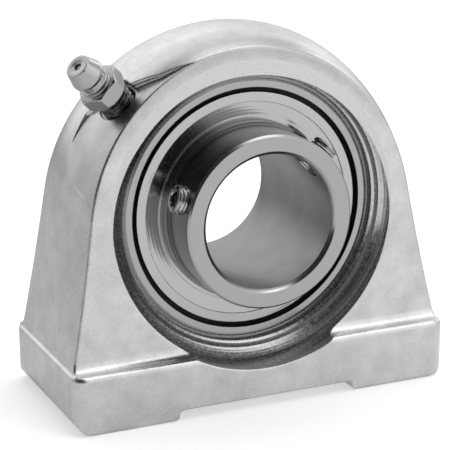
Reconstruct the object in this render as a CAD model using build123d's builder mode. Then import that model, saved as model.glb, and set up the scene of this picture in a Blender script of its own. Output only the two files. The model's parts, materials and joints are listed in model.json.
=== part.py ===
from build123d import *

import os
from math import acos, atan2, cos, hypot, radians, sin, sqrt, tan

# Pillow block bearing with a tapped base: a cast housing holds an insert ball bearing in a
# spherical seat, so that the bearing can follow a shaft that isn't quite parallel to the base.
#
# Frame: millimetres, +Z up, the base stands on Z = 0, the shaft runs along Y under +X to the
# right, and the end with the set screws (the front) looks towards -Y.
# Forward means towards the front, and radius means the distance from the shaft's axis.

os.makedirs("parts", exist_ok=True)

# ---------------------------------------------------------------- driving dimensions: insert

shaft_radius = 15.0            # bore of the inner ring
inner_ring_forward = 22.2      # seat centre to the inner ring's front face
inner_ring_backward = 15.9     # seat centre to the inner ring's rear face
inner_ring_radius = 20.1       # shoulders and slinger seats
collar_radius = 19.4           # front end of the inner ring, where the set screws are
collar_length = 10.4           # length of that front end
bore_chamfer = 0.8
collar_chamfer = 0.5

outer_sphere_radius = 31.0     # spherical outside of the outer ring
outer_ring_width = 20.6
outer_ring_shoulder = 26.0     # bore of the outer ring beside its raceway
outer_ring_mouth = 27.35       # bore of the outer ring at its two ends
outer_ring_mouth_depth = 4.4
outer_ring_chamfer = 0.5

ball_count = 9
ball_radius = 4.7625
ball_circle_radius = 23.0
first_ball_angle = 90.0
raceway_radius = 4.95          # cross-section of both raceways
ball_clearance = 0.02          # ball to raceway
pocket_clearance = 0.12        # ball to cage

cage_inner_radius = 21.3
cage_outer_radius = 24.7
cage_thickness = 0.7
rivet_radius = 0.75
rivet_clearance = 0.03
rivet_head_radius = 1.25
rivet_head_height = 0.45

seal_thickness = 1.0
seal_groove_start = 6.3        # distance from the seat centre's plane
seal_groove_depth = 0.5
seal_lip_clearance = 0.1       # seal lip to the turning inner ring
seal_fit = 0.03

slinger_radius = 26.2
slinger_face = 10.05           # distance of its outer face from the seat centre's plane
slinger_thickness = 0.8
slinger_rim_width = 2.05       # outer band of the slinger
slinger_rim_fall = 0.15        # how far that band falls back towards its edge
slinger_step = 0.35            # the dished part starts this far below the band
slinger_dish = 0.1             # and sinks this much further towards the hub
slinger_hub_wall = 0.9
slinger_hub_length = 2.0

set_screw_angles = (162.0, 42.0)
set_screw_from_face = 5.3
set_screw_radius = 3.0
set_screw_length = 4.8
set_screw_rest = 16.6          # radius of the screw's inner end when backed off the shaft
set_screw_socket = 3.0         # across the flats
set_screw_socket_depth = 2.4
set_screw_chamfer = 0.35
set_screw_cup_radius = 1.5
set_screw_cup_depth = 0.8
thread_clearance = 0.04

grease_hole_radius = 0.8       # through the outer ring, beside the raceway
grease_hole_forward = 4.9

# -------------------------------------------------------------- driving dimensions: housing

centre_height = 42.9           # base to the shaft's axis
base_length = 90.0
base_width = 41.0
base_thickness = 13.5
base_corner = 3.0              # plan radius of the base's corners
base_end_round = 4.5           # lower edge at each end of the base
base_edge_round = 1.2
foot_edge = 0.6                # chamfer along the front and rear of the soles
foot_gap_length = 42.5         # hollow between the two feet, on the underside
foot_gap_depth = 2.5
foot_gap_round = 1.2

arch_radius = 40.0             # rounded top, around the shaft's axis
leg_inset = 0.8                # base end to the leg, at the top of the base
leg_sink = 1.5                 # how far the legs reach down into the base
crown_margin = 1.6             # how far the crowned rim's cross-section runs on past the faces
crown_pull = 0.22              # share of the crown's fall that comes off the arch's radius
crown_backward = 1.9           # the crown's highest line lies this far behind the seat centre
front_depth = 14.2             # seat centre to the front face, at the shaft's height
rear_depth = 15.2              # seat centre to the rear face, at the shaft's height
face_lean = 5.2                # degrees that each face leans back from the vertical
cove_radius = 2.2              # hollow round between body and base
face_edge_round = 0.5

seat_clearance = 0.03          # housing seat to the outer ring
seat_mouth = 10.0              # half-width of the spherical seat
dish_foot = (30.1, 11.4)       # radius and distance from the seat centre's plane
dish_ridge = (31.3, 12.45)
dish_lip = (33.3, 14.3)
dish_hollow = 0.12             # how far each hollow band of the dish sags off its chord
dish_flare = 5.5               # degrees that the mouth opens in front of the dish's lip
slot_clearance = 0.25          # loading slots to the outer ring's faces

cut_margin = 5.0               # how far a cutting shape reaches past the metal

bolt_spacing = 66.0            # tapped holes in the base
bolt_drill_radius = 6.0        # M14, before tapping
bolt_depth = 20.0
bolt_chamfer = 1.0
drill_point = 118.0            # degrees

# ------------------------------------------------------------- driving dimensions: fitting

nipple_angle = 137.2           # place of the grease nipple round the arch, from +X
nipple_tilt = 14.0             # degrees that it leans forward
nipple_seat_depth = 2.1        # how far below the arch's top it is screwed in
relief_angle = 140.0           # middle of the relief round it, from +X
relief_slope = 14.0            # degrees that the relief rises from the front face's edge
# Outline of the relief, seen from outside: forward of the seat centre, and up round the arch.
relief_outline = ((16, 20.5), (11.6, 20.5), (9.2, 11.5), (-1.2, -4), (-1.2, -17), (16, -20.2))
grease_entry_forward = 2.3     # where the grease passage meets the seat
passage_radius = 1.5
grease_channel = (0.3, 6.0)    # hollow ring in the seat, from and to this far forward
grease_channel_depth = 0.7

nipple_shank_radius = 4.0
nipple_thread_length = 4.6     # screwed into the housing
nipple_relief_radius = 4.7     # counterbore round its foot
nipple_relief_depth = 0.8
nipple_standoff = 3.2          # from its foot to the hexagon
hexagon_flats = 9.0
hexagon_height = 3.9
hexagon_chamfer = 0.5
neck_radius = 2.9
neck_length = 1.5
collar_step_radius = 3.5       # short collar between hexagon and neck
collar_step_height = 0.5
head_radius = 3.8
head_height = 4.7
head_nose_radius = 2.8
head_shoulder = 1.6            # from the neck to where the head starts to narrow
nipple_bore_radius = 1.3
nipple_mouth_radius = 0.85
nipple_mouth_depth = 0.8
check_ball_radius = 1.2
check_ball_travel = 0.8
check_ball_clearance = 0.05
spring_wire_wall = 0.3

# --------------------------------------------------------------------------- shared frames

centre = Vector(0, 0, centre_height)
shaft_axis = Axis((0, 0, centre_height), (0, 1, 0))
# Looking at the front face: local X is +X, local Y is +Z, and local Z is forward.
insert_plane = Plane(origin=centre, x_dir=(1, 0, 0), z_dir=(0, -1, 0))
rear_plane = Plane(origin=centre, x_dir=(1, 0, 0), z_dir=(0, 1, 0))
# Half-section of anything that is turned about the shaft: (radius, forward).
section_plane = Plane(origin=centre, x_dir=(0, 0, 1), z_dir=(1, 0, 0))


def save(part, name):
    part.label = name
    export_step(part, f"parts/{name}.step")


# ------------------------------------------------------------------------------ inner ring
# A turned and ground ring, longer at the front, where two set screws grip the shaft.

raceway_inner = ball_circle_radius - ball_radius - ball_clearance + raceway_radius
raceway_outer = ball_circle_radius + ball_radius + ball_clearance - raceway_radius
set_screw_forward = inner_ring_forward - set_screw_from_face


def screw_plane(angle):
    """Plane on the shaft's axis whose Z points out along a set screw."""
    out = Vector(cos(radians(angle)), 0, sin(radians(angle)))
    return Plane(origin=centre + Vector(0, -set_screw_forward, 0), x_dir=(0, -1, 0), z_dir=out)


with BuildPart(insert_plane) as inner_ring:
    with BuildSketch(section_plane):
        with BuildLine():
            Polyline(
                (shaft_radius + bore_chamfer, inner_ring_forward),
                (collar_radius - collar_chamfer, inner_ring_forward),
                (collar_radius, inner_ring_forward - collar_chamfer),
                (collar_radius, inner_ring_forward - collar_length),
                (inner_ring_radius, inner_ring_forward - collar_length),
                (inner_ring_radius, collar_chamfer - inner_ring_backward),
                (inner_ring_radius - collar_chamfer, -inner_ring_backward),
                (shaft_radius + bore_chamfer, -inner_ring_backward),
                (shaft_radius, bore_chamfer - inner_ring_backward),
                (shaft_radius, inner_ring_forward - bore_chamfer),
                close=True,
            )
        make_face()
    revolve(axis=shaft_axis)
    Torus(raceway_inner, raceway_radius, mode=Mode.SUBTRACT)
    for screw_angle in set_screw_angles:
        with BuildSketch(screw_plane(screw_angle)):
            Circle(set_screw_radius + thread_clearance)
        extrude(amount=inner_ring_radius + bore_chamfer, mode=Mode.SUBTRACT)

save(inner_ring.part, "inner_ring")

# ------------------------------------------------------------------------------ outer ring
# Spherical outside, so that the whole insert can tilt in its seat.

outer_ring_half = outer_ring_width / 2
mouth_floor = outer_ring_half - outer_ring_mouth_depth

with BuildPart(insert_plane) as outer_ring:
    Sphere(outer_sphere_radius)
    Cylinder(outer_sphere_radius, outer_ring_width, mode=Mode.INTERSECT)
    chamfer(outer_ring.edges().filter_by(GeomType.CIRCLE), outer_ring_chamfer)
    Cylinder(outer_ring_shoulder, outer_ring_width, mode=Mode.SUBTRACT)
    Torus(raceway_outer, raceway_radius, mode=Mode.SUBTRACT)
    for face_plane in (insert_plane, rear_plane):
        with BuildSketch(face_plane.offset(mouth_floor)):
            Circle(outer_ring_mouth)
        extrude(amount=outer_ring_mouth_depth, mode=Mode.SUBTRACT)
        with BuildSketch(face_plane.offset(seal_groove_start)):
            Circle(outer_ring_mouth + seal_groove_depth)
        extrude(amount=seal_thickness, mode=Mode.SUBTRACT)
    with BuildSketch(Plane(origin=centre + Vector(0, -grease_hole_forward, 0), z_dir=(0, 0, 1))):
        Circle(grease_hole_radius)
    extrude(amount=outer_sphere_radius, mode=Mode.SUBTRACT)

save(outer_ring.part, "outer_ring")

# ----------------------------------------------------------------------------------- balls

ball_places = PolarLocations(ball_circle_radius, ball_count, start_angle=first_ball_angle)

for index, place in enumerate(ball_places.local_locations):
    with BuildPart() as ball:
        with Locations(insert_plane.location * place):
            Sphere(ball_radius)
    save(ball.part, f"ball_{index + 1}")

# ------------------------------------------------------------------------------------ cage
# Two pressed halves with a pocket for each ball, riveted together between the balls.

pocket_radius = ball_radius + pocket_clearance
rivet_angle = first_ball_angle + 180 / ball_count

with BuildPart(insert_plane) as cage_front:
    with PolarLocations(ball_circle_radius, ball_count, start_angle=first_ball_angle):
        Sphere(pocket_radius + cage_thickness)
    Cylinder(cage_outer_radius, cage_thickness, align=(Align.CENTER, Align.CENTER, Align.MIN))
    Cylinder(
        cage_outer_radius,
        pocket_radius + cage_thickness,
        align=(Align.CENTER, Align.CENTER, Align.MIN),
        mode=Mode.INTERSECT,
    )
    Cylinder(cage_inner_radius, 4 * pocket_radius, mode=Mode.SUBTRACT)
    with PolarLocations(ball_circle_radius, ball_count, start_angle=first_ball_angle):
        Sphere(pocket_radius, mode=Mode.SUBTRACT)
    with PolarLocations(ball_circle_radius, ball_count, start_angle=rivet_angle):
        Cylinder(rivet_radius + rivet_clearance, 4 * cage_thickness, mode=Mode.SUBTRACT)

with BuildPart() as cage_rear:
    mirror(cage_front.part, about=insert_plane)

save(cage_front.part, "cage_front")
save(cage_rear.part, "cage_rear")

with BuildPart(insert_plane) as cage_rivets:
    with PolarLocations(ball_circle_radius, ball_count, start_angle=rivet_angle):
        Cylinder(rivet_radius, 2 * cage_thickness)
    for head_centre in (-1, 1):
        with BuildSketch(insert_plane.offset(head_centre * cage_thickness)):
            with PolarLocations(ball_circle_radius, ball_count, start_angle=rivet_angle):
                Circle(rivet_head_radius)
        extrude(amount=head_centre * rivet_head_height)

save(cage_rivets.part, "cage_rivets")

# ------------------------------------------------------------------------ seals and slingers
# A rubber seal snaps into each end of the outer ring. A pressed slinger turns with the inner
# ring in front of it and throws dirt off.


def seal(face_plane, name):
    lip_radius = inner_ring_radius + seal_lip_clearance
    with BuildPart(face_plane) as ring:
        with BuildSketch(face_plane.offset(seal_groove_start + seal_fit)):
            Circle(outer_ring_mouth + seal_groove_depth - seal_fit)
            Circle(lip_radius, mode=Mode.SUBTRACT)
        extrude(amount=seal_thickness - 2 * seal_fit)
        # The disc is thinner between the bead in the groove and the lip.
        with BuildSketch(face_plane.offset(seal_groove_start + seal_thickness / 2)):
            Circle(outer_ring_shoulder - 2 * seal_groove_depth)
            Circle(lip_radius + seal_thickness, mode=Mode.SUBTRACT)
        extrude(amount=seal_thickness, mode=Mode.SUBTRACT)
    save(ring.part, name)


def slinger(face_side, name):
    """Slinger with its band at slinger_face; face_side is +1 at the front and -1 at the rear."""
    band_start = slinger_radius - slinger_rim_width
    hub_outer = inner_ring_radius + slinger_hub_wall
    dish_start = slinger_face - slinger_step
    dish_end = dish_start - slinger_dish
    outline = [
        (slinger_radius, slinger_face - slinger_rim_fall),
        (band_start, slinger_face),
        (band_start, dish_start),
        (hub_outer, dish_end),
        (hub_outer, dish_end + slinger_step),
        (inner_ring_radius, dish_end + slinger_step),
        (inner_ring_radius, slinger_face - slinger_hub_length),
        (hub_outer, slinger_face - slinger_hub_length),
        (hub_outer, dish_end - slinger_thickness),
        (band_start, dish_start - slinger_thickness),
        (slinger_radius, slinger_face - slinger_rim_fall - slinger_thickness),
    ]
    with BuildPart() as ring:
        with BuildSketch(section_plane):
            with BuildLine():
                Polyline(*[(radius, face_side * forward) for radius, forward in outline], close=True)
            make_face()
        revolve(axis=shaft_axis)
    save(ring.part, name)


seal(insert_plane, "seal_front")
seal(rear_plane, "seal_rear")
slinger(1, "slinger_front")
slinger(-1, "slinger_rear")

# ------------------------------------------------------------------------------ set screws

for index, screw_angle in enumerate(set_screw_angles):
    outer_end = set_screw_rest + set_screw_length
    with BuildPart() as set_screw:
        with BuildSketch(screw_plane(screw_angle).offset(set_screw_rest)):
            Circle(set_screw_radius)
        extrude(amount=set_screw_length)
        chamfer(set_screw.edges().filter_by(GeomType.CIRCLE), set_screw_chamfer)
        with BuildSketch(screw_plane(screw_angle).offset(outer_end)):
            RegularPolygon(set_screw_socket / 2, 6, major_radius=False)
        extrude(amount=-set_screw_socket_depth, mode=Mode.SUBTRACT)
        with BuildSketch(screw_plane(screw_angle).offset(set_screw_rest)):
            Circle(set_screw_cup_radius)
        extrude(amount=set_screw_cup_depth, mode=Mode.SUBTRACT)
    save(set_screw.part, f"set_screw_{index + 1}")

# --------------------------------------------------------------------------------- housing
# The body is an arch whose outline sinks away towards both faces, which gives the crowned rim.

lean = tan(radians(face_lean))
seat_radius = outer_sphere_radius + seat_clearance
crown_radius = base_width / 2 + crown_backward + crown_margin
leg_foot = base_thickness - leg_sink
body_top = centre_height + arch_radius + cut_margin
cove_top = base_thickness + cove_radius


def crown_drop(forward):
    """How far the rim has sunk below its highest line."""
    off_crown = forward + crown_backward
    return crown_radius - sqrt(crown_radius**2 - off_crown**2)


def arch_plane(forward, fall):
    return Plane(origin=centre + Vector(0, -forward, -fall), x_dir=(1, 0, 0), z_dir=(0, -1, 0))


def crowned_arch(forward):
    """Radius of the arch at this distance forward, and how far its centre is lowered."""
    drop = crown_drop(forward)
    return arch_radius - crown_pull * drop, (1 - crown_pull) * drop


def arch_section(forward):
    """Crowned arch, on legs whose feet stay in place."""
    radius, fall = crowned_arch(forward)
    foot = leg_foot - centre_height + fall
    leg_reach = base_length / 2 - leg_inset
    leg_fall = centre_height - fall - base_thickness
    splay = acos(radius / hypot(leg_reach, leg_fall)) - atan2(leg_fall, leg_reach)
    tangent = (radius * cos(splay), radius * sin(splay))
    foot_x = (radius - foot * sin(splay)) / cos(splay)
    with BuildSketch(arch_plane(forward, fall)) as section:
        with BuildLine():
            ThreePointArc((-tangent[0], tangent[1]), (0, radius), tangent)
            Polyline(tangent, (foot_x, foot), (-foot_x, foot), (-tangent[0], tangent[1]))
        make_face()
    return section.sketch


def face_at(depth, height):
    """Distance of a leaning face from the seat centre's plane, at a height above the base."""
    return depth + (centre_height - height) * lean


with BuildPart() as body:
    loft([arch_section(share * base_width / 2) for share in (-1, -0.5, 0, 0.5, 1)])

    # Side view of the body: two leaning faces, each with a hollow round down to the ledge.
    with BuildSketch(Plane.YZ):
        with BuildLine():
            front_cove = (-face_at(front_depth, cove_top), cove_top)
            front_foot = (front_cove[0] - cove_radius, base_thickness)
            rear_cove = (face_at(rear_depth, cove_top), cove_top)
            rear_foot = (rear_cove[0] + cove_radius, base_thickness)
            RadiusArc(front_cove, front_foot, cove_radius)
            RadiusArc(rear_foot, rear_cove, cove_radius)
            Polyline(
                rear_cove,
                (face_at(rear_depth, body_top), body_top),
                (-face_at(front_depth, body_top), body_top),
                front_cove,
            )
            Polyline(front_foot, (front_foot[0], 0), (rear_foot[0], 0), rear_foot)
        make_face()
    extrude(amount=base_length, both=True, mode=Mode.INTERSECT)
    front_edges = body.edges().filter_by_position(Axis.Y, -base_width, -front_depth / 2)
    front_rim = front_edges.sort_by(Axis.Z)[-1]

    # Ease the edges between the rim and the two faces, hollow rounds included.
    rims = [edge for edge in body.edges() if abs(edge.center().Y) > front_depth / 2]
    fillet([edge for edge in rims if edge.geom_type != GeomType.LINE], face_edge_round)

# The block under it, with rounded ends and a hollow between its two feet.
with BuildPart() as base:
    with BuildSketch(Plane.XZ) as base_front:
        with Locations((0, base_thickness / 2)):
            Rectangle(base_length, base_thickness)
        fillet(base_front.vertices().group_by(Axis.Y)[0], base_end_round)
        Rectangle(foot_gap_length, 2 * foot_gap_depth, mode=Mode.SUBTRACT)
        gap_corners = [corner for corner in base_front.vertices() if abs(corner.X) < base_length / 3]
        fillet(gap_corners, foot_gap_round)
    extrude(amount=base_width / 2, both=True)
    with BuildSketch():
        RectangleRounded(base_length, base_width, base_corner)
    extrude(amount=base_thickness, mode=Mode.INTERSECT)
    with BuildSketch(Plane.YZ) as base_side:
        with Locations((0, base_thickness / 2)):
            Rectangle(base_width, base_thickness)
        chamfer(base_side.vertices().group_by(Axis.Y)[0], foot_edge)
    extrude(amount=base_length, both=True, mode=Mode.INTERSECT)
    fillet(base.faces().sort_by(Axis.Z)[-1].edges(), base_edge_round)



def outward(angle, tilt):
    """Direction at this angle round the arch, leaning forward by the tilt."""
    across = cos(radians(tilt))
    return Vector(across * cos(radians(angle)), -sin(radians(tilt)), across * sin(radians(angle)))


# Grease fitting: its axis leans forward and leads down to the seat.
nipple_out = outward(nipple_angle, nipple_tilt)
entry_radius = sqrt(seat_radius**2 - grease_entry_forward**2)
seat_entry = centre + Vector(
    entry_radius * cos(radians(nipple_angle)),
    -grease_entry_forward,
    entry_radius * sin(radians(nipple_angle)),
)
drill_length = arch_radius - nipple_seat_depth - nipple_out.dot(seat_entry - centre)
nipple_foot = seat_entry + nipple_out * drill_length
nipple_plane = Plane(origin=nipple_foot, x_dir=nipple_out.cross(Vector(0, 0, 1)), z_dir=nipple_out)

# The relief round the nipple's foot: in its outline, the crown gives way to a straight slope
# that starts from the edge of the front face.
rim_points = [front_rim.position_at(share) for share in (0, 0.2, 0.4)]
rim_arc = Edge.make_three_point_arc(*[Vector(-abs(spot.X), spot.Y, spot.Z) for spot in rim_points])
rim_plane = Plane(
    origin=rim_arc.arc_center, x_dir=(1, 0, 0), z_dir=(0, cos(radians(face_lean)), -sin(radians(face_lean)))
)
relief_plane = Plane(origin=centre, x_dir=(0, -1, 0), z_dir=outward(relief_angle, 0))

with BuildPart() as nipple_relief:
    with BuildSketch(relief_plane):
        with BuildLine():
            Polyline(*relief_outline, close=True)
        make_face()
    extrude(amount=arch_radius + cut_margin)
    with BuildSketch(rim_plane):
        Circle(rim_arc.radius)
    extrude(amount=base_width, taper=-relief_slope, mode=Mode.SUBTRACT)
    with BuildSketch(rim_plane):
        Circle(rim_arc.radius)
    extrude(amount=-cut_margin, mode=Mode.SUBTRACT)


def hollow(start, end, side):
    """Arc between two points of the dish, which sags into the metal."""
    middle = ((start[0] + end[0]) / 2, (start[1] + end[1]) / 2)
    run = Vector(end[0] - start[0], end[1] - start[1]).normalized()
    sag = (middle[0] + dish_hollow * abs(run.Y), middle[1] - side * dish_hollow * abs(run.X))
    return ThreePointArc(start, sag, end)


with BuildPart() as seat_cut:
    mouth_radius = sqrt(seat_radius**2 - seat_mouth**2)
    flare_radius = dish_lip[0] + (base_width - dish_lip[1]) * tan(radians(dish_flare))
    with BuildSketch(section_plane):
        with BuildLine():
            ThreePointArc((mouth_radius, -seat_mouth), (seat_radius, 0), (mouth_radius, seat_mouth))
            for side in (-1, 1):
                mouth = (mouth_radius, side * seat_mouth)
                foot = (dish_foot[0], side * dish_foot[1])
                ridge = (dish_ridge[0], side * dish_ridge[1])
                lip = (dish_lip[0], side * dish_lip[1])
                Line(mouth, foot)
                hollow(foot, ridge, side)
                hollow(ridge, lip, side)
                Polyline(lip, (flare_radius, side * base_width), (0, side * base_width))
            Line((0, -base_width), (0, base_width))
        make_face()
    revolve(axis=shaft_axis)

with BuildPart() as housing:
    add(body.part)
    add(base.part)
    add(nipple_relief.part, mode=Mode.SUBTRACT)
    add(seat_cut.part, mode=Mode.SUBTRACT)

    # Loading slots: the insert goes in edge-on from the rear and then turns into its seat.
    with BuildSketch(rear_plane):
        Circle(seat_radius)
        Rectangle(
            2 * base_length, outer_ring_width + 2 * slot_clearance, mode=Mode.INTERSECT
        )
    extrude(amount=base_width, mode=Mode.SUBTRACT)

    # Grease channel round the seat, and the passage that feeds it.
    with BuildSketch(insert_plane.offset(grease_channel[0])):
        Circle(seat_radius + grease_channel_depth)
    extrude(amount=grease_channel[1] - grease_channel[0], mode=Mode.SUBTRACT)
    with BuildSketch(nipple_plane):
        Circle(passage_radius)
    extrude(amount=-drill_length - grease_channel_depth, mode=Mode.SUBTRACT)
    with BuildSketch(nipple_plane):
        Circle(nipple_shank_radius)
    extrude(amount=-nipple_thread_length, mode=Mode.SUBTRACT)
    with BuildSketch(nipple_plane.offset(-nipple_relief_depth)):
        Circle(nipple_relief_radius)
    extrude(amount=nipple_relief_depth + nipple_standoff, mode=Mode.SUBTRACT)

    # Tapped holes in the feet, with the cone that the drill leaves.
    bolt_places = GridLocations(bolt_spacing, 0, 2, 1)
    with BuildSketch():
        with bolt_places:
            Circle(bolt_drill_radius)
    extrude(amount=bolt_depth, mode=Mode.SUBTRACT)
    with Locations(Plane.XY.offset(bolt_depth)):
        with bolt_places:
            Cone(
                bolt_drill_radius,
                0,
                bolt_drill_radius / tan(radians(drill_point / 2)),
                align=(Align.CENTER, Align.CENTER, Align.MIN),
                mode=Mode.SUBTRACT,
            )
    with bolt_places:
        Cone(
            bolt_drill_radius + bolt_chamfer,
            bolt_drill_radius,
            bolt_chamfer,
            align=(Align.CENTER, Align.CENTER, Align.MIN),
            mode=Mode.SUBTRACT,
        )

save(housing.part, "housing")

# -------------------------------------------------------------------------- grease nipple
# Hexagon body with a button head. A sprung ball closes its mouth and lets grease in.

hexagon_top = nipple_standoff + hexagon_height
step_top = hexagon_top + collar_step_height
head_start = step_top + neck_length
head_undercut = head_radius - neck_radius
nipple_tip = head_start + head_height
ball_seat = nipple_tip - nipple_mouth_depth
check_ball_centre = (
    ball_seat - sqrt(check_ball_radius**2 - nipple_mouth_radius**2) - check_ball_clearance
)
spring_top = check_ball_centre - check_ball_radius
spring_seat = nipple_standoff - hexagon_chamfer
hexagon_corner = hexagon_flats / sqrt(3)
nipple_section = Plane(origin=nipple_foot, x_dir=nipple_plane.x_dir, z_dir=-nipple_plane.y_dir)
nipple_axis = Axis(nipple_foot, nipple_out)

with BuildPart(nipple_plane) as hexagon:
    with BuildSketch(nipple_plane.offset(nipple_standoff)):
        RegularPolygon(hexagon_flats / 2, 6, major_radius=False)
    extrude(amount=hexagon_height)
    with BuildSketch(nipple_section):
        with BuildLine():
            Polyline(
                (0, nipple_standoff),
                (hexagon_flats / 2, nipple_standoff),
                (hexagon_corner, nipple_standoff + hexagon_chamfer),
                (hexagon_corner, hexagon_top - hexagon_chamfer),
                (hexagon_flats / 2, hexagon_top),
                (0, hexagon_top),
                close=True,
            )
        make_face()
    revolve(axis=nipple_axis, mode=Mode.INTERSECT)

with BuildPart() as nipple_body:
    with BuildSketch(nipple_section):
        with BuildLine():
            Polyline(
                (0, -nipple_thread_length),
                (nipple_shank_radius, -nipple_thread_length),
                (nipple_shank_radius, hexagon_top - hexagon_height / 2),
                (collar_step_radius, hexagon_top - hexagon_height / 2),
                (collar_step_radius, step_top),
                (neck_radius, step_top),
                (neck_radius, head_start),
                (head_radius, head_start + head_undercut),
                (head_radius, head_start + head_shoulder),
                (head_nose_radius, nipple_tip),
                (0, nipple_tip),
                close=True,
            )
        make_face()
    revolve(axis=nipple_axis)
    add(hexagon.part)
    with BuildSketch(nipple_section):
        with BuildLine():
            Polyline(
                (0, nipple_tip),
                (nipple_mouth_radius, nipple_tip),
                (nipple_mouth_radius, ball_seat),
                (nipple_bore_radius, ball_seat - nipple_bore_radius + nipple_mouth_radius),
                (nipple_bore_radius, spring_seat),
                (nipple_mouth_radius, spring_seat),
                (nipple_mouth_radius, -nipple_thread_length),
                (0, -nipple_thread_length),
                close=True,
            )
        make_face()
    revolve(axis=nipple_axis, mode=Mode.SUBTRACT)

save(nipple_body.part, "nipple_body")

with BuildPart(nipple_plane) as nipple_ball:
    with Locations((0, 0, check_ball_centre)):
        Sphere(check_ball_radius)

save(nipple_ball.part, "nipple_ball")

spring_radius = nipple_bore_radius - spring_wire_wall / 2
with BuildPart(nipple_plane) as nipple_spring:
    with BuildSketch(nipple_plane.offset(spring_seat)):
        Circle(spring_radius)
        Circle(spring_radius - spring_wire_wall, mode=Mode.SUBTRACT)
    extrude(amount=spring_top + spring_wire_wall - spring_seat)

save(nipple_spring.part, "nipple_spring")
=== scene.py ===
import json
import math

import bpy
from mathutils import Matrix, Vector


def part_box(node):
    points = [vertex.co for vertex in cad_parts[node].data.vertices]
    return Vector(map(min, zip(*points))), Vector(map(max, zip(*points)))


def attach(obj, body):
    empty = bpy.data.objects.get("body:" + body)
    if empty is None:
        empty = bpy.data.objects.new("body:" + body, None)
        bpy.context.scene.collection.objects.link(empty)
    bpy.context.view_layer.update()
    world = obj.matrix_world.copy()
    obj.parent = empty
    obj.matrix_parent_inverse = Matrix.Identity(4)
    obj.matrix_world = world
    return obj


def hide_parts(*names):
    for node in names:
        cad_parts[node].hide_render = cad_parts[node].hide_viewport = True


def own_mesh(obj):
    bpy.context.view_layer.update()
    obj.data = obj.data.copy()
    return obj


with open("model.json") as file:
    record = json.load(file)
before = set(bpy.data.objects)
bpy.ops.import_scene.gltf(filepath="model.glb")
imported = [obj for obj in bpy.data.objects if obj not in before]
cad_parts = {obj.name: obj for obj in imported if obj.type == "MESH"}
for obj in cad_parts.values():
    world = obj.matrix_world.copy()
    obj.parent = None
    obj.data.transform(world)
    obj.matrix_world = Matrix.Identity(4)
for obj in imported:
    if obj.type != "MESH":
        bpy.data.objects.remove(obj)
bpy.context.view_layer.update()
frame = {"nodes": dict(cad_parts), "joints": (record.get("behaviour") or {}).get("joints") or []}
nodes = frame["nodes"]

# ------------------------------------------------------------------------------- housing
# An investment casting in stainless steel, vibratory polished to a satin. The mouth and the
# seat are turned on a lathe afterwards, so they are smoother and carry fine tool rings.

MM = 0.001
shaft_height = 42.9 * MM
seat_centre = Vector((0, 0, shaft_height))


def linear(hex_colour):
    """A screen colour, such as "c8c8c6", as the linear values that a shader takes."""
    values = [int(hex_colour[i : i + 2], 16) / 255 for i in (0, 2, 4)]
    return [v / 12.92 if v <= 0.04045 else ((v + 0.055) / 1.055) ** 2.4 for v in values] + [1]


def add_node(tree, kind, settings=None, links=None):
    """Adds a shader node. Settings are its own options or its inputs' values."""
    node = tree.nodes.new(kind)
    for name, value in (settings or {}).items():
        if isinstance(name, str) and hasattr(node, name):
            setattr(node, name, value)
        else:
            node.inputs[name].default_value = value
    for name, socket in (links or {}).items():
        tree.links.new(socket, node.inputs[name])
    return node


def new_material(name):
    """An empty material, with its node tree and the shader that everything else feeds."""
    material = bpy.data.materials.new(name)
    material.use_nodes = True
    tree = material.node_tree
    tree.nodes.clear()
    shader = add_node(tree, "ShaderNodeBsdfPrincipled")
    add_node(tree, "ShaderNodeOutputMaterial", links={"Surface": shader.outputs[0]})
    return material, tree, shader


def wear(obj, material):
    """Gives an object this one material."""
    obj.data.materials.clear()
    obj.data.materials.append(material)


def from_shaft(tree):
    """A point on the metal, its distance from the shaft's axis and its place along it."""
    place = add_node(tree, "ShaderNodeTexCoord").outputs["Object"]
    offset = add_node(
        tree, "ShaderNodeVectorMath", {"operation": "SUBTRACT", 1: seat_centre}, {0: place}
    ).outputs[0]
    flat = add_node(
        tree, "ShaderNodeVectorMath", {"operation": "MULTIPLY", 1: (1, 0, 1)}, {0: offset}
    ).outputs[0]
    radius = add_node(tree, "ShaderNodeVectorMath", {"operation": "LENGTH"}, {0: flat})
    along = add_node(tree, "ShaderNodeSeparateXYZ", links={0: offset})
    return place, radius.outputs["Value"], along.outputs["Y"]


# Cast stainless, satin polished: a soft sheen, mottled by slow patches of more and less
# polish and by the fine grain that the mould leaves.
turned_radius = 33.7  # the turned mouths end here
band_outer_radius = 38.6  # painted shade lies in a band round each mouth, out to here
band_start, band_full = 52, 74  # heights between which the painted shade comes in
streak_pitch = 1.6

cast_steel, tree, shader = new_material("stainless_casting_satin_polished")
place, radius, along = from_shaft(tree)
shader.inputs["Metallic"].default_value = 1.0
# The real grain is about 0.1 mm; it is drawn at 0.45 mm so that it shows at all.
grain = add_node(
    tree,
    "ShaderNodeTexNoise",
    {"Scale": 1 / (0.45 * MM), "Detail": 3.0, "Roughness": 0.6},
    {"Vector": place},
).outputs[0]
patches = add_node(
    tree,
    "ShaderNodeTexNoise",
    {"Scale": 1 / (5.5 * MM), "Detail": 5.0, "Roughness": 0.6},
    {"Vector": place},
).outputs[0]
waviness = add_node(
    tree, "ShaderNodeTexNoise", {"Scale": 1 / (13 * MM), "Detail": 2.0}, {"Vector": place}
).outputs[0]
turned_zone = add_node(
    tree, "ShaderNodeMath", {"operation": "LESS_THAN", 1: turned_radius * MM}, {0: radius}
).outputs[0]
tone = add_node(
    tree, "ShaderNodeMapRange", {"From Min": 0.32, "From Max": 0.68}, {"Value": patches}
).outputs[0]
tint = add_node(
    tree,
    "ShaderNodeMix",
    {"data_type": "RGBA", 6: linear("b6b6b5"), 7: linear("c9c9c8")},
    {0: tone},
).outputs[2]
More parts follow.
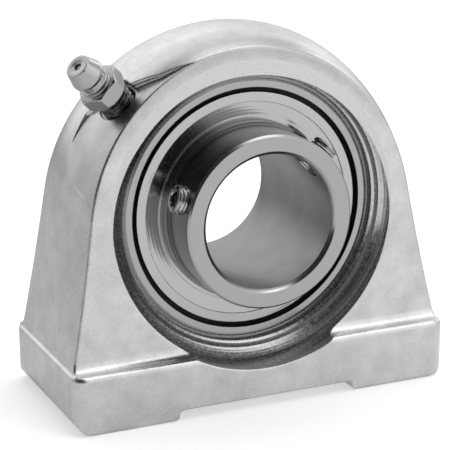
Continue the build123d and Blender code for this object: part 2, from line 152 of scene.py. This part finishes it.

# Painted shade: a band round the mouth is painted darker above the mouth, where the face takes
# less light. It is streaky, and it fades out towards the mouth and towards the feet.
within_band = add_node(
    tree,
    "ShaderNodeMapRange",
    {"From Min": band_outer_radius * MM, "From Max": (band_outer_radius - 1.2) * MM},
    {"Value": radius},
).outputs[0]
beyond_mouth = add_node(
    tree,
    "ShaderNodeMapRange",
    {"From Min": (turned_radius - 0.5) * MM, "From Max": (turned_radius + 2.1) * MM},
    {"Value": radius},
).outputs[0]
height = add_node(tree, "ShaderNodeSeparateXYZ", links={0: place}).outputs["Z"]
above = add_node(
    tree,
    "ShaderNodeMapRange",
    {
        "interpolation_type": "SMOOTHSTEP",
        "From Min": band_start * MM,
        "From Max": band_full * MM,
        "To Max": 0.85,
    },
    {"Value": height},
).outputs[0]
# Streaks in the painted shade, drawn out along the band.
slow_height = add_node(
    tree, "ShaderNodeMath", {"operation": "MULTIPLY", 1: 0.08}, {0: height}
).outputs[0]
streak_place = add_node(
    tree, "ShaderNodeCombineXYZ", links={0: radius, 1: along, 2: slow_height}
).outputs[0]
streaks = add_node(
    tree,
    "ShaderNodeTexNoise",
    {"Scale": 1 / (streak_pitch * MM), "Detail": 3.0},
    {"Vector": streak_place},
).outputs[0]
streaks = add_node(
    tree,
    "ShaderNodeMapRange",
    {"From Min": 0.3, "From Max": 0.7, "To Min": 0.6},
    {"Value": streaks},
).outputs[0]
painted_band_shade = within_band
for share in (beyond_mouth, above, streaks):
    painted_band_shade = add_node(
        tree, "ShaderNodeMath", {"operation": "MULTIPLY"}, {0: painted_band_shade, 1: share}
    ).outputs[0]
# The painted shade's darker colour.
tint = add_node(
    tree, "ShaderNodeMix", {"data_type": "RGBA", 7: linear("9a9a99")}, {0: painted_band_shade, 6: tint}
).outputs[2]
# The oil that stays in the tool rings evens out the turned mouth.
tint = add_node(
    tree, "ShaderNodeMix", {"data_type": "RGBA", 7: linear("bebebd")}, {0: turned_zone, 6: tint}
).outputs[2]
tree.links.new(tint, shader.inputs["Base Color"])

satin = add_node(
    tree,
    "ShaderNodeMapRange",
    {"From Min": 0.3, "From Max": 0.7, "To Min": 0.22, "To Max": 0.38},
    {"Value": grain},
).outputs[0]
# Specks of tool chatter in the turned mouth, 0.8 mm apart.
chatter = add_node(
    tree, "ShaderNodeTexNoise", {"Scale": 1 / (0.8 * MM), "Detail": 2.0}, {"Vector": place}
).outputs[0]
bright_turning = add_node(
    tree,
    "ShaderNodeMapRange",
    {"From Min": 0.35, "From Max": 0.65, "To Min": 0.17, "To Max": 0.29},
    {"Value": chatter},
).outputs[0]
sheen = add_node(
    tree, "ShaderNodeMix", {"data_type": "FLOAT"}, {0: turned_zone, 2: satin, 3: bright_turning}
).outputs[0]
tree.links.new(sheen, shader.inputs["Roughness"])

# Tool rings, 0.1 mm apart in the real mouth and drawn at 0.55 mm.
phase = add_node(
    tree, "ShaderNodeMath", {"operation": "MULTIPLY", 1: 2 * math.pi / (0.55 * MM)}, {0: radius}
).outputs[0]
rings = add_node(tree, "ShaderNodeMath", {"operation": "SINE"}, {0: phase}).outputs[0]
# Every edge of the casting is worn round by the polishing.
worn_edge = add_node(tree, "ShaderNodeBevel", {"samples": 8, "Radius": 0.7 * MM}).outputs[0]
grain_bump = add_node(
    tree,
    "ShaderNodeBump",
    {"Strength": 0.22, "Distance": 0.08 * MM},
    {"Height": grain, "Normal": worn_edge},
).outputs[0]
wavy_bump = add_node(
    tree,
    "ShaderNodeBump",
    {"Strength": 0.6, "Distance": 0.3 * MM},
    {"Height": waviness, "Normal": grain_bump},
).outputs[0]
turned_edge = add_node(tree, "ShaderNodeBevel", {"samples": 6, "Radius": 0.25 * MM}).outputs[0]
ring_bump = add_node(
    tree,
    "ShaderNodeBump",
    {"Strength": 0.2, "Distance": 0.02 * MM},
    {"Height": rings, "Normal": turned_edge},
).outputs[0]
surface = add_node(
    tree, "ShaderNodeMix", {"data_type": "VECTOR"}, {0: turned_zone, 4: wavy_bump, 5: ring_bump}
).outputs[1]
tree.links.new(surface, shader.inputs["Normal"])
wear(nodes["housing"], cast_steel)

# ------------------------------------------------------------------- threads in the feet
# The two holes in the feet are tapped M14 for bolts from below. Each thread is cut into the
# casting, so it shows bright, clean flanks inside the satin foot.


def turned(name, rows, closed=False):
    """A shape turned round its own Z. Each row is a height and a radius, in millimetres,
    and the radius may be a function of the angle."""
    steps = 96
    points = []
    for height, size in rows:
        for i in range(steps):
            angle = 2 * math.pi * i / steps
            r = size(angle) if callable(size) else size
            points.append((r * math.cos(angle) * MM, r * math.sin(angle) * MM, height * MM))
    faces = []
    for row in range(len(rows) - 1):
        for i in range(steps):
            j = (i + 1) % steps
            low, high = row * steps, (row + 1) * steps
            faces.append((low + i, low + j, high + j, high + i))
    if closed:
        faces.append(tuple(reversed(range(steps))))
        faces.append(tuple((len(rows) - 1) * steps + i for i in range(steps)))
    mesh = bpy.data.meshes.new(name)
    mesh.from_pydata(points, [], faces)
    mesh.validate()
    mesh.shade_smooth()
    mesh.set_sharp_from_angle(angle=math.radians(32))
    piece = bpy.data.objects.new(name, mesh)
    bpy.context.scene.collection.objects.link(piece)
    return piece


def put(piece, origin, out, across=(0, 1, 0)):
    """Stands a turned piece at a point, with its own Z along one direction and its X across."""
    z = Vector(out).normalized()
    y = z.cross(Vector(across)).normalized()
    turn = Matrix((y.cross(z), y, z)).transposed().to_4x4()
    piece.data.transform(Matrix.Translation(origin) @ turn)


def helix(start, end, outer, depth, pitch, ease):
    """Rows of a V thread. The ridges die away over a short ease at either end."""
    rows = []
    count = max(2, round((end - start) / pitch * 12))
    for k in range(count + 1):
        height = start + (end - start) * k / count
        fade = min(1, (height - start) / ease, (end - height) / ease)

        def size(angle, height=height, fade=fade):
            turn = (height / pitch - angle / (2 * math.pi)) % 1
            ridge = max(0.0, min(1.0, 1.35 * (1 - abs(2 * turn - 1)) - 0.1))
            return outer - depth * (1 - ridge) * max(0.0, fade)

        rows.append((height, size))
    return rows


# Freshly cut flanks: brighter and smoother than the cast skin, with fine tear marks.
bright_cut, tree, shader = new_material("stainless_tapped_thread")
shader.inputs["Metallic"].default_value = 1.0
shader.inputs["Base Color"].default_value = linear("bdbdbc")
place = add_node(tree, "ShaderNodeTexCoord").outputs["Object"]
tears = add_node(
    tree, "ShaderNodeTexNoise", {"Scale": 1 / (0.5 * MM), "Detail": 3.0}, {"Vector": place}
).outputs[0]
worn = add_node(
    tree,
    "ShaderNodeMapRange",
    {"From Min": 0.3, "From Max": 0.7, "To Min": 0.16, "To Max": 0.3},
    {"Value": tears},
).outputs[0]
tree.links.new(worn, shader.inputs["Roughness"])

bolt_hole_offset = 33.0
bolt_hole_radius = 5.98
bolt_pitch = 2.0
for side, label in ((-1, "left"), (1, "right")):
    rows = helix(
        start=1.2, end=19.2, outer=bolt_hole_radius, depth=0.5, pitch=bolt_pitch, ease=1.5
    )
    thread = turned(f"bolt_thread_{label}", rows)
    put(thread, (side * bolt_hole_offset * MM, 0, 0), (0, 0, 1))
    wear(thread, bright_cut)
    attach(thread, "housing")

# ------------------------------------------------------------------------ insert bearing
# The rings are hardened stainless steel. The outside and the raceways are ground, and the
# faces are fine turned, which leaves rings round the shaft that glint as it is turned.


def ringed_steel(name, colour, roughness, ring_pitch, ring_depth):
    """Turned or ground steel, whose tool marks run round the shaft. The real marks are finer
    than 0.1 mm, and are drawn at a coarser pitch so that they show."""
    material, tree, shader = new_material(name)
    place, radius, along = from_shaft(tree)
    shader.inputs["Metallic"].default_value = 1.0
    shade = add_node(
        tree, "ShaderNodeTexNoise", {"Scale": 1 / (6 * MM), "Detail": 3.0}, {"Vector": place}
    ).outputs[0]
    tint = add_node(
        tree,
        "ShaderNodeMix",
        {"data_type": "RGBA", 6: [v * 0.93 for v in linear(colour)[:3]] + [1], 7: linear(colour)},
        {0: shade},
    ).outputs[2]
    tree.links.new(tint, shader.inputs["Base Color"])
    fine = add_node(
        tree, "ShaderNodeTexNoise", {"Scale": 1 / (0.9 * MM), "Detail": 4.0}, {"Vector": place}
    ).outputs[0]
    worn = add_node(
        tree,
        "ShaderNodeMapRange",
        {"From Min": 0.3, "From Max": 0.7, "To Min": roughness * 0.8, "To Max": roughness * 1.2},
        {"Value": fine},
    ).outputs[0]
    tree.links.new(worn, shader.inputs["Roughness"])
    # Rings by radius on the faces, and by length on the round sides.
    spread = add_node(
        tree, "ShaderNodeMath", {"operation": "ADD"}, {0: radius, 1: along}
    ).outputs[0]
    phase = add_node(
        tree,
        "ShaderNodeMath",
        {"operation": "MULTIPLY", 1: 2 * math.pi / (ring_pitch * MM)},
        {0: spread},
    ).outputs[0]
    wave = add_node(tree, "ShaderNodeMath", {"operation": "SINE"}, {0: phase}).outputs[0]
    edge = add_node(tree, "ShaderNodeBevel", {"samples": 6, "Radius": 0.2 * MM}).outputs[0]
    bump = add_node(
        tree,
        "ShaderNodeBump",
        {"Strength": 0.15, "Distance": ring_depth * MM},
        {"Height": wave, "Normal": edge},
    ).outputs[0]
    tree.links.new(bump, shader.inputs["Normal"])
    return material


# Fine turned faces: even grey, with a faint ring pattern.
outer_steel = ringed_steel(
    "hardened_stainless_fine_turned", "a4a4a3", roughness=0.2, ring_pitch=0.45, ring_depth=0.02
)
wear(nodes["outer_ring"], outer_steel)
inner_steel = ringed_steel(
    "hardened_stainless_bore_honed", "a4a4a3", roughness=0.2, ring_pitch=0.45, ring_depth=0.02
)
wear(nodes["inner_ring"], inner_steel)

# The inner ring's bore is honed and its collar is ground. Both are painted darker than the turned
# end faces: painted shade for the depth of the bore and for the shade on the collar, with faint
# honing clouds in the bore.
bore_edge_radius = 15.35
behind_face = -21.75  # along the shaft, just behind the front face
tree = inner_steel.node_tree
shader = tree.nodes["Principled BSDF"]
place, radius, along = from_shaft(tree)
in_bore = add_node(
    tree, "ShaderNodeMath", {"operation": "LESS_THAN", 1: bore_edge_radius * MM}, {0: radius}
).outputs[0]
off_face = add_node(
    tree, "ShaderNodeMath", {"operation": "GREATER_THAN", 1: behind_face * MM}, {0: along}
).outputs[0]
honing_clouds = add_node(
    tree, "ShaderNodeTexNoise", {"Scale": 1 / (7 * MM), "Detail": 4.0}, {"Vector": place}
).outputs[0]
painted_bore_shade = add_node(
    tree,
    "ShaderNodeMix",
    {"data_type": "RGBA", 6: linear("6c6c6c"), 7: linear("8e8e8e")},
    {0: honing_clouds},
).outputs[2]
plain = shader.inputs["Base Color"].links[0].from_socket
painted_collar_shade = add_node(
    tree, "ShaderNodeMix", {"data_type": "RGBA", 7: linear("747474")}, {0: off_face, 6: plain}
).outputs[2]
# Painted shade in the bore and on the collar.
shaded_ring_colour = add_node(
    tree, "ShaderNodeMix", {"data_type": "RGBA"}, {0: in_bore, 6: painted_collar_shade, 7: painted_bore_shade}
).outputs[2]
tree.links.new(shaded_ring_colour, shader.inputs["Base Color"])
smooth = shader.inputs["Roughness"].links[0].from_socket
honed = add_node(
    tree, "ShaderNodeMix", {"data_type": "FLOAT", 3: 0.34}, {0: in_bore, 2: smooth}
).outputs[0]
tree.links.new(honed, shader.inputs["Roughness"])

# The set screws' holes in the inner ring are tapped M6, and their threads show from the
# bore, where the backed-off screws leave them open.
screw_hole_radius = 3.03
screw_pitch = 1.0
travel_axes = {joint["name"]: Vector(joint["axis"]) for joint in frame["joints"]}
for index in (1, 2):
    out = travel_axes[f"set_screw_{index}_travel"]
    low, high = (Vector(corner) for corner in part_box(f"set_screw_{index}"))
    rows = helix(
        start=14.95, end=19.1, outer=screw_hole_radius, depth=0.32, pitch=screw_pitch, ease=0.3
    )
    thread = turned(f"screw_hole_thread_{index}", rows)
    put(thread, (0, (low + high).y / 2, shaft_height), out)
    wear(thread, bright_cut)
    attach(thread, "inner_ring")

# -------------------------------------------------------------------------- balls and cage
# Nine hardened balls roll in a two-part cage. Its halves are pressed from stainless strip and
# riveted together between the balls.

# Lapped: as bright as a mirror.
lapped = ringed_steel(
    "bearing_steel_lapped", "d8d8d8", roughness=0.05, ring_pitch=2.0, ring_depth=0.0
)
for name in nodes:
    if name.startswith("ball_"):
        wear(nodes[name], lapped)

# Pressed from bright strip: a little softer than the ground rings.
pressed = ringed_steel(
    "stainless_strip_pressed_bright", "c6c6c5", roughness=0.2, ring_pitch=0.9, ring_depth=0.01
)
for name in ("cage_front", "cage_rear", "cage_rivets"):
    wear(nodes[name], pressed)

# ------------------------------------------------------------------- seals and slingers
# A moulded nitrile rubber seal sits in each mouth of the outer ring. A slinger, pressed from
# stainless sheet, turns in front of it and leaves only a thin black line of the rubber.

# Matt and nearly black, with the faint bloom that moulded rubber has.
rubber, tree, shader = new_material("nitrile_rubber_moulded")
place = add_node(tree, "ShaderNodeTexCoord").outputs["Object"]
bloom = add_node(
    tree, "ShaderNodeTexNoise", {"Scale": 1 / (2 * MM), "Detail": 4.0}, {"Vector": place}
).outputs[0]
tint = add_node(
    tree,
    "ShaderNodeMix",
    {"data_type": "RGBA", 6: linear("141416"), 7: linear("222225")},
    {0: bloom},
).outputs[2]
tree.links.new(tint, shader.inputs["Base Color"])
shader.inputs["Roughness"].default_value = 0.6
for name in ("seal_front", "seal_rear"):
    wear(nodes[name], rubber)

# Drawn and buffed: the brightest of the flat rings, with clear reflections.
drawn = ringed_steel(
    "stainless_sheet_drawn_and_buffed", "b3b3b2", roughness=0.14, ring_pitch=0.7, ring_depth=0.015
)
for name in ("slinger_front", "slinger_rear"):
    wear(nodes[name], drawn)

# ------------------------------------------------------------------------------ set screws
# Two M6 socket set screws in stainless steel hold the ring on its shaft. They have a cup
# point and are backed off here, so that their threaded ends stand out of the collar.

# Rolled threads: smooth and bright, without tool marks.
screw_steel = ringed_steel(
    "stainless_screw_rolled_thread", "b9b9b8", roughness=0.16, ring_pitch=0.8, ring_depth=0.0
)


def hexagon(flats, limit=None):
    """Radius of a hexagon by angle, no larger than a limit."""

    def size(angle):
        sector = math.pi / 3
        off_flat = (angle % sector) - sector / 2
        r = flats / 2 / math.cos(off_flat)
        return r if limit is None else min(r, limit)

    return size


screw_inner, screw_outer = 16.6, 21.4  # distances from the shaft's axis
screw_radius = 2.98
screw_end_radius = 2.5
socket_flats, socket_depth = 3.0, 2.4
socket_floor = screw_outer - socket_depth
cup_radius, cup_depth = 1.5, 0.8
# Turned back by this much, its thread clears the hole's thread here and screwed right in.
thread_turn = math.radians(-18)
for index in (1, 2):
    out = travel_axes[f"set_screw_{index}_travel"]
    low, high = (Vector(corner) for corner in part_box(f"set_screw_{index}"))
    # Cup point
    rows = [(screw_inner + cup_depth, 0.02), (screw_inner + 0.02, cup_radius)]
    rows += [(screw_inner, cup_radius + 0.06), (screw_inner, screw_end_radius)]
    # Thread
    rows += [(screw_inner + 0.08, screw_end_radius + 0.1)]
    rows += helix(
        start=screw_inner + 0.3,
        end=screw_outer - 0.3,
        outer=screw_radius,
        depth=0.42,
        pitch=screw_pitch,
        ease=0.35,
    )
    rows += [(screw_outer - 0.06, screw_end_radius + 0.12), (screw_outer, screw_end_radius)]
    # Socket, chamfered at its mouth and drilled at its floor
    rows += [(screw_outer, 1.85), (screw_outer - 0.25, hexagon(socket_flats))]
    rows += [(socket_floor, hexagon(socket_flats)), (socket_floor - 0.25, 0.7)]
    rows += [(socket_floor - 0.3, 0.02)]
    screw = turned(f"threaded_screw_{index}", rows, closed=True)
    across = Matrix.Rotation(thread_turn, 3, out) @ Vector((0, 1, 0))
    put(screw, (0, (low + high).y / 2, shaft_height), out, across=across)
    wear(screw, screw_steel)
    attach(screw, f"set_screw_{index}")
    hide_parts(f"set_screw_{index}")

# ------------------------------------------------------------------------- grease fitting
# A stainless grease nipple with a cone head, turned from hexagon bar and screwed into the
# casting. A spring holds its small check ball up against the mouth.

# Turned from bright bar: clear highlights along the head and the flats.
nipple_steel = ringed_steel(
    "stainless_bar_turned_bright", "a2a2a1", roughness=0.15, ring_pitch=0.6, ring_depth=0.0
)
for name in ("nipple_ball", "nipple_spring"):
    wear(nodes[name], nipple_steel)

# Heights are above its foot, where it meets the casting.
nipple_foot = Vector((-27.915, -4.0704, 68.7496)) * MM
nipple_out = -travel_axes["nipple_ball_travel"]
nipple_flats = 9.0
nipple_bore = 0.86
thread_top = 3.15
spring_seat, spring_chamber = 2.7, 1.3
# Shank and thread
rows = [(-4.6, nipple_bore), (-4.6, 3.4), (-4.3, 3.7), (-0.9, 3.7)]
rows += helix(start=-0.8, end=2.9, outer=4.0, depth=0.5, pitch=1.0, ease=0.4)
rows += [(3.0, 3.7), (3.2, 3.7), (3.2, 4.35)]
# Hexagon, chamfered at both ends
for height, limit in (
    (3.24, 4.55), (3.35, 4.8), (3.5, 5.0), (3.7, 5.15), (3.95, 5.3),
    (6.35, 5.3), (6.6, 5.15), (6.8, 5.0), (6.95, 4.8), (7.06, 4.55),
):
    rows.append((height, hexagon(nipple_flats, limit)))
# Collar and neck
rows += [(7.1, 4.35), (7.1, 3.62), (7.14, 3.5), (7.48, 3.5), (7.58, 3.4), (7.6, 3.05)]
rows += [(7.72, 2.92), (7.9, 2.88), (9.0, 2.88)]
# Cone head
rows += [(9.15, 2.98), (9.75, 3.6), (9.9, 3.72), (10.05, 3.79), (10.25, 3.8), (10.6, 3.79)]
rows += [(10.8, 3.74), (13.35, 2.92), (13.68, 2.81), (13.77, 2.74), (13.8, 2.6), (13.8, 1.42)]
# Mouth, ball seat, spring chamber and bore
rows += [(13.76, 1.34), (13.6, 1.28), (13.58, 1.2), (13.6, 0.95), (13.55, 0.85), (13.0, 0.85)]
rows += [(12.55, spring_chamber), (spring_seat, spring_chamber)]
rows += [(spring_seat, nipple_bore), (-4.6, nipple_bore)]
nipple = turned("grease_nipple", rows)
# It is screwed in until it is tight, which leaves one flat facing forward.
tightened = Matrix.Rotation(math.radians(18), 3, nipple_out)
put(nipple, nipple_foot, nipple_out, across=tightened @ nipple_out.cross(Vector((0, 0, 1))))

# Painted shade: the thread below the hexagon, in shadow under it and in its seat, is painted dark,
# in spots.
tree = nipple_steel.node_tree
shader = tree.nodes["Principled BSDF"]
place = add_node(tree, "ShaderNodeTexCoord").outputs["Object"]
from_foot = add_node(
    tree, "ShaderNodeVectorMath", {"operation": "SUBTRACT", 1: nipple_foot}, {0: place}
).outputs[0]
above_foot = add_node(
    tree, "ShaderNodeVectorMath", {"operation": "DOT_PRODUCT", 1: nipple_out}, {0: from_foot}
).outputs["Value"]
on_thread = add_node(
    tree, "ShaderNodeMath", {"operation": "LESS_THAN", 1: thread_top * MM}, {0: above_foot}
).outputs[0]
shade_spots = add_node(
    tree, "ShaderNodeTexNoise", {"Scale": 1 / (1.1 * MM), "Detail": 3.0}, {"Vector": place}
).outputs[0]
shade_spots = add_node(
    tree, "ShaderNodeMapRange", {"From Min": 0.4, "From Max": 0.65}, {"Value": shade_spots}
).outputs[0]
painted_thread_shade = add_node(
    tree,
    "ShaderNodeMix",
    {"data_type": "RGBA", 6: linear("343434"), 7: linear("6a6a6a")},
    {0: shade_spots},
).outputs[2]
plain = shader.inputs["Base Color"].links[0].from_socket
# The painted shade goes onto the thread.
shaded_thread_colour = add_node(
    tree, "ShaderNodeMix", {"data_type": "RGBA"}, {0: on_thread, 6: plain, 7: painted_thread_shade}
).outputs[2]
tree.links.new(shaded_thread_colour, shader.inputs["Base Color"])
wear(nipple, nipple_steel)
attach(nipple, "housing")
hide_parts("nipple_body")

# The spring is copied into a coil with a mesh of its own, carried by the housing.
coil = nodes["nipple_spring"].copy()
coil.data = coil.data.copy()
coil.name = "nipple_coil"
bpy.context.scene.collection.objects.link(coil)
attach(coil, "housing")
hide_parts("nipple_spring")
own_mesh(coil)

# ------------------------------------------------------------------------ floor and light
# A pale floor that runs out of sight, and soft light from all round, as in a light tent. The
# floor and the wall behind are white to the lens, and the metal shows them too.

bpy.ops.mesh.primitive_plane_add(size=4, location=(0, 0, 0))
floor = bpy.context.object
floor.name = "floor"
# Matt white. To the lens it is brighter than its light makes it, as if a little overexposed.
pale, tree, shader = new_material("matt_white_floor")
shader.inputs["Roughness"].default_value = 0.9
rays = add_node(tree, "ShaderNodeLightPath")
spot = add_node(tree, "ShaderNodeTexCoord").outputs["Object"]
mirrored = add_node(
    tree,
    "ShaderNodeMath",
    {"operation": "MAXIMUM"},
    {0: rays.outputs["Is Glossy Ray"], 1: rays.outputs["Is Transmission Ray"]},
).outputs[0]
# In the metal it is brightest in front of the part and falls off behind it.
forward = add_node(
    tree, "ShaderNodeVectorMath", {"operation": "DOT_PRODUCT", 1: (0.4, -0.9, 0)}, {0: spot}
).outputs["Value"]
forward = add_node(
    tree,
    "ShaderNodeMapRange",
    {"From Min": -0.11, "From Max": 0.03, "To Min": 0.02, "To Max": 0.44},
    {"Value": forward},
).outputs[0]
in_metal = add_node(
    tree, "ShaderNodeMath", {"operation": "MULTIPLY"}, {0: mirrored, 1: forward}
).outputs[0]
in_lens = add_node(
    tree, "ShaderNodeMath", {"operation": "MULTIPLY", 1: 0.5}, {0: rays.outputs["Is Camera Ray"]}
).outputs[0]
seen = add_node(tree, "ShaderNodeMath", {"operation": "ADD"}, {0: in_lens, 1: in_metal}).outputs[0]
shader.inputs["Emission Color"].default_value = (1, 1, 1, 1)
tree.links.new(seen, shader.inputs["Emission Strength"])
# Painted shadow: in the metal the floor's colour is darker behind the part on the right, as if
# less of the light reached it there.
shadow_behind_right = add_node(
    tree, "ShaderNodeVectorMath", {"operation": "DOT_PRODUCT", 1: (0.8, 0.6, 0)}, {0: spot}
).outputs["Value"]
shadow_behind_right = add_node(
    tree, "ShaderNodeMapRange", {"From Min": 0.03, "From Max": 0.25}, {"Value": shadow_behind_right}
).outputs[0]
shadow_behind_right = add_node(
    tree, "ShaderNodeMath", {"operation": "MULTIPLY"}, {0: shadow_behind_right, 1: rays.outputs["Is Glossy Ray"]}
).outputs[0]
shade = add_node(
    tree,
    "ShaderNodeMix",
    {"data_type": "RGBA", 6: linear("d4d4d4"), 7: linear("787878")},
    {0: shadow_behind_right},
).outputs[2]
tree.links.new(shade, shader.inputs["Base Color"])
wear(floor, pale)

world = bpy.data.worlds.new("studio")
bpy.context.scene.world = world
world.use_nodes = True
tree = world.node_tree
tree.nodes.clear()
ray = add_node(tree, "ShaderNodeTexCoord").outputs["Generated"]


def glow(towards, start, full, amount):
    """Light from about one direction, which comes in over a range of cosines."""
    share = add_node(
        tree,
        "ShaderNodeVectorMath",
        {"operation": "DOT_PRODUCT", 1: Vector(towards).normalized()},
        {0: ray},
    ).outputs["Value"]
    return add_node(
        tree,
        "ShaderNodeMapRange",
        {
            "interpolation_type": "SMOOTHSTEP",
            "From Min": start,
            "From Max": full,
            "To Max": amount,
        },
        {"Value": share},
    ).outputs[0]


# Each has its direction, the cosines where it starts and is full, and its amount.
level = glow((0.0, 0.76, 0.65), 0.38, 0.95, 0.45)  # behind and above
for towards, start, full, amount in (
    ((-0.1, 0.85, 0.52), 0.82, 0.97, 0.45),  # its brightest part
    ((0.82, 0.07, 0.57), 0.35, 0.95, 0.32),  # right
    ((0.83, 0.43, 0.34), 0.95, 0.985, 1.2),  # small lamp on the right
    ((0.45, -0.78, 0.43), 0.65, 0.95, 0.8),  # front right
    ((0.2, -0.13, 0.97), 0.88, 0.98, 1.7),  # overhead
    ((-0.37, -0.87, 0.32), 0.8, 0.93, -0.85),  # the gap for the lens
    ((-0.58, -0.42, 0.68), 0.64, 0.84, -1.0),  # and its upper left
):
    part = glow(towards, start, full, amount)
    level = add_node(tree, "ShaderNodeMath", {"operation": "ADD"}, {0: level, 1: part}).outputs[0]
# The tent's even light lies under all of these, and no part of it is quite black.
even_light, darkest = 0.6, 0.05
level = add_node(
    tree, "ShaderNodeMath", {"operation": "ADD", 1: even_light}, {0: level}
).outputs[0]
level = add_node(
    tree, "ShaderNodeMath", {"operation": "MAXIMUM", 1: darkest}, {0: level}
).outputs[0]
rays = add_node(tree, "ShaderNodeLightPath")
mirrored = add_node(
    tree,
    "ShaderNodeMath",
    {"operation": "MAXIMUM"},
    {0: rays.outputs["Is Glossy Ray"], 1: rays.outputs["Is Transmission Ray"]},
).outputs[0]
# The lens sees a plain white wall, and the metal sees a little of it behind the part.
wall = glow((0.4, 0.9, 0.1), 0.8, 0.95, 0.3)
in_metal = add_node(
    tree, "ShaderNodeMath", {"operation": "MULTIPLY"}, {0: mirrored, 1: wall}
).outputs[0]
white = add_node(
    tree,
    "ShaderNodeMath",
    {"operation": "MAXIMUM"},
    {0: rays.outputs["Is Camera Ray"], 1: in_metal},
).outputs[0]
strength = add_node(
    tree, "ShaderNodeMix", {"data_type": "FLOAT", 3: 1.0}, {0: white, 2: level}
).outputs[0]
background = add_node(
    tree, "ShaderNodeBackground", {"Color": (1, 1, 1, 1)}, {"Strength": strength}
)
add_node(tree, "ShaderNodeOutputWorld", links={"Surface": background.outputs[0]})

# --------------------------------------------------------------------------------- camera
# A long lens stands in front of the part and to the left of it, a little above the shaft,
# and looks slightly down.

camera_data = bpy.data.cameras.new("camera")
camera_data.sensor_width = 36
camera_data.lens = 146.56
camera = bpy.data.objects.new("camera", camera_data)
bpy.context.scene.collection.objects.link(camera)
ahead = Vector((0.3865, 0.8764, -0.2873)).normalized()
right = Vector((0.914, -0.4057, -0.0081)).normalized()
up = right.cross(ahead).normalized()
right = ahead.cross(up)
eye = Vector((-161.2, -363.1, 112.7)) * MM + seat_centre
turn = Matrix((right, up, -ahead)).transposed().to_4x4()
camera.matrix_world = Matrix.Translation(eye) @ turn
bpy.context.scene.camera = camera

bpy.context.scene.view_settings.view_transform = "Standard"
